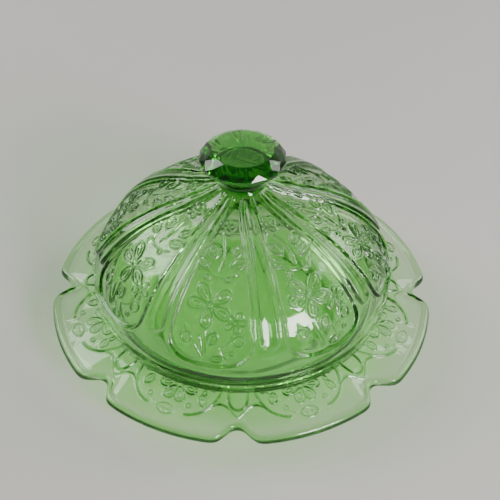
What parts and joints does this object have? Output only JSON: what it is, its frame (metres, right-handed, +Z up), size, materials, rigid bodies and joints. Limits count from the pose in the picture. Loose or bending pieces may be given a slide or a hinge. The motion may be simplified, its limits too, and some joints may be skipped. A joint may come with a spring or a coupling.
{
  "type": "covered glass dish",
  "caption": "Covered dish in pressed green glass: a round plate with a scalloped rim, and a domed lid with a cut glass knob that lifts off.",
  "frame": {"origin": "middle of the plate's foot, on the surface that the dish stands on", "axes": "+Z up along the common axis of the plate and the lid; -Y is the front, where one notch of the rim lies"},
  "size_m": [0.1828, 0.1828, 0.1002],
  "materials": {
    "plate_glass": "fire-polished pressed green glass",
    "lid_glass": "fire-polished pressed green glass"
  },
  "bodies": {
    "plate": {"base_plate": "plate_glass"},
    "lid": {"dome_lid": "lid_glass"}
  },
  "joints": [
    {"name": "lid_lift", "type": "slide", "parent": "plate", "child": "lid", "axis": [0, 0, 1], "range_m": [0, 0.12]}
  ]
}
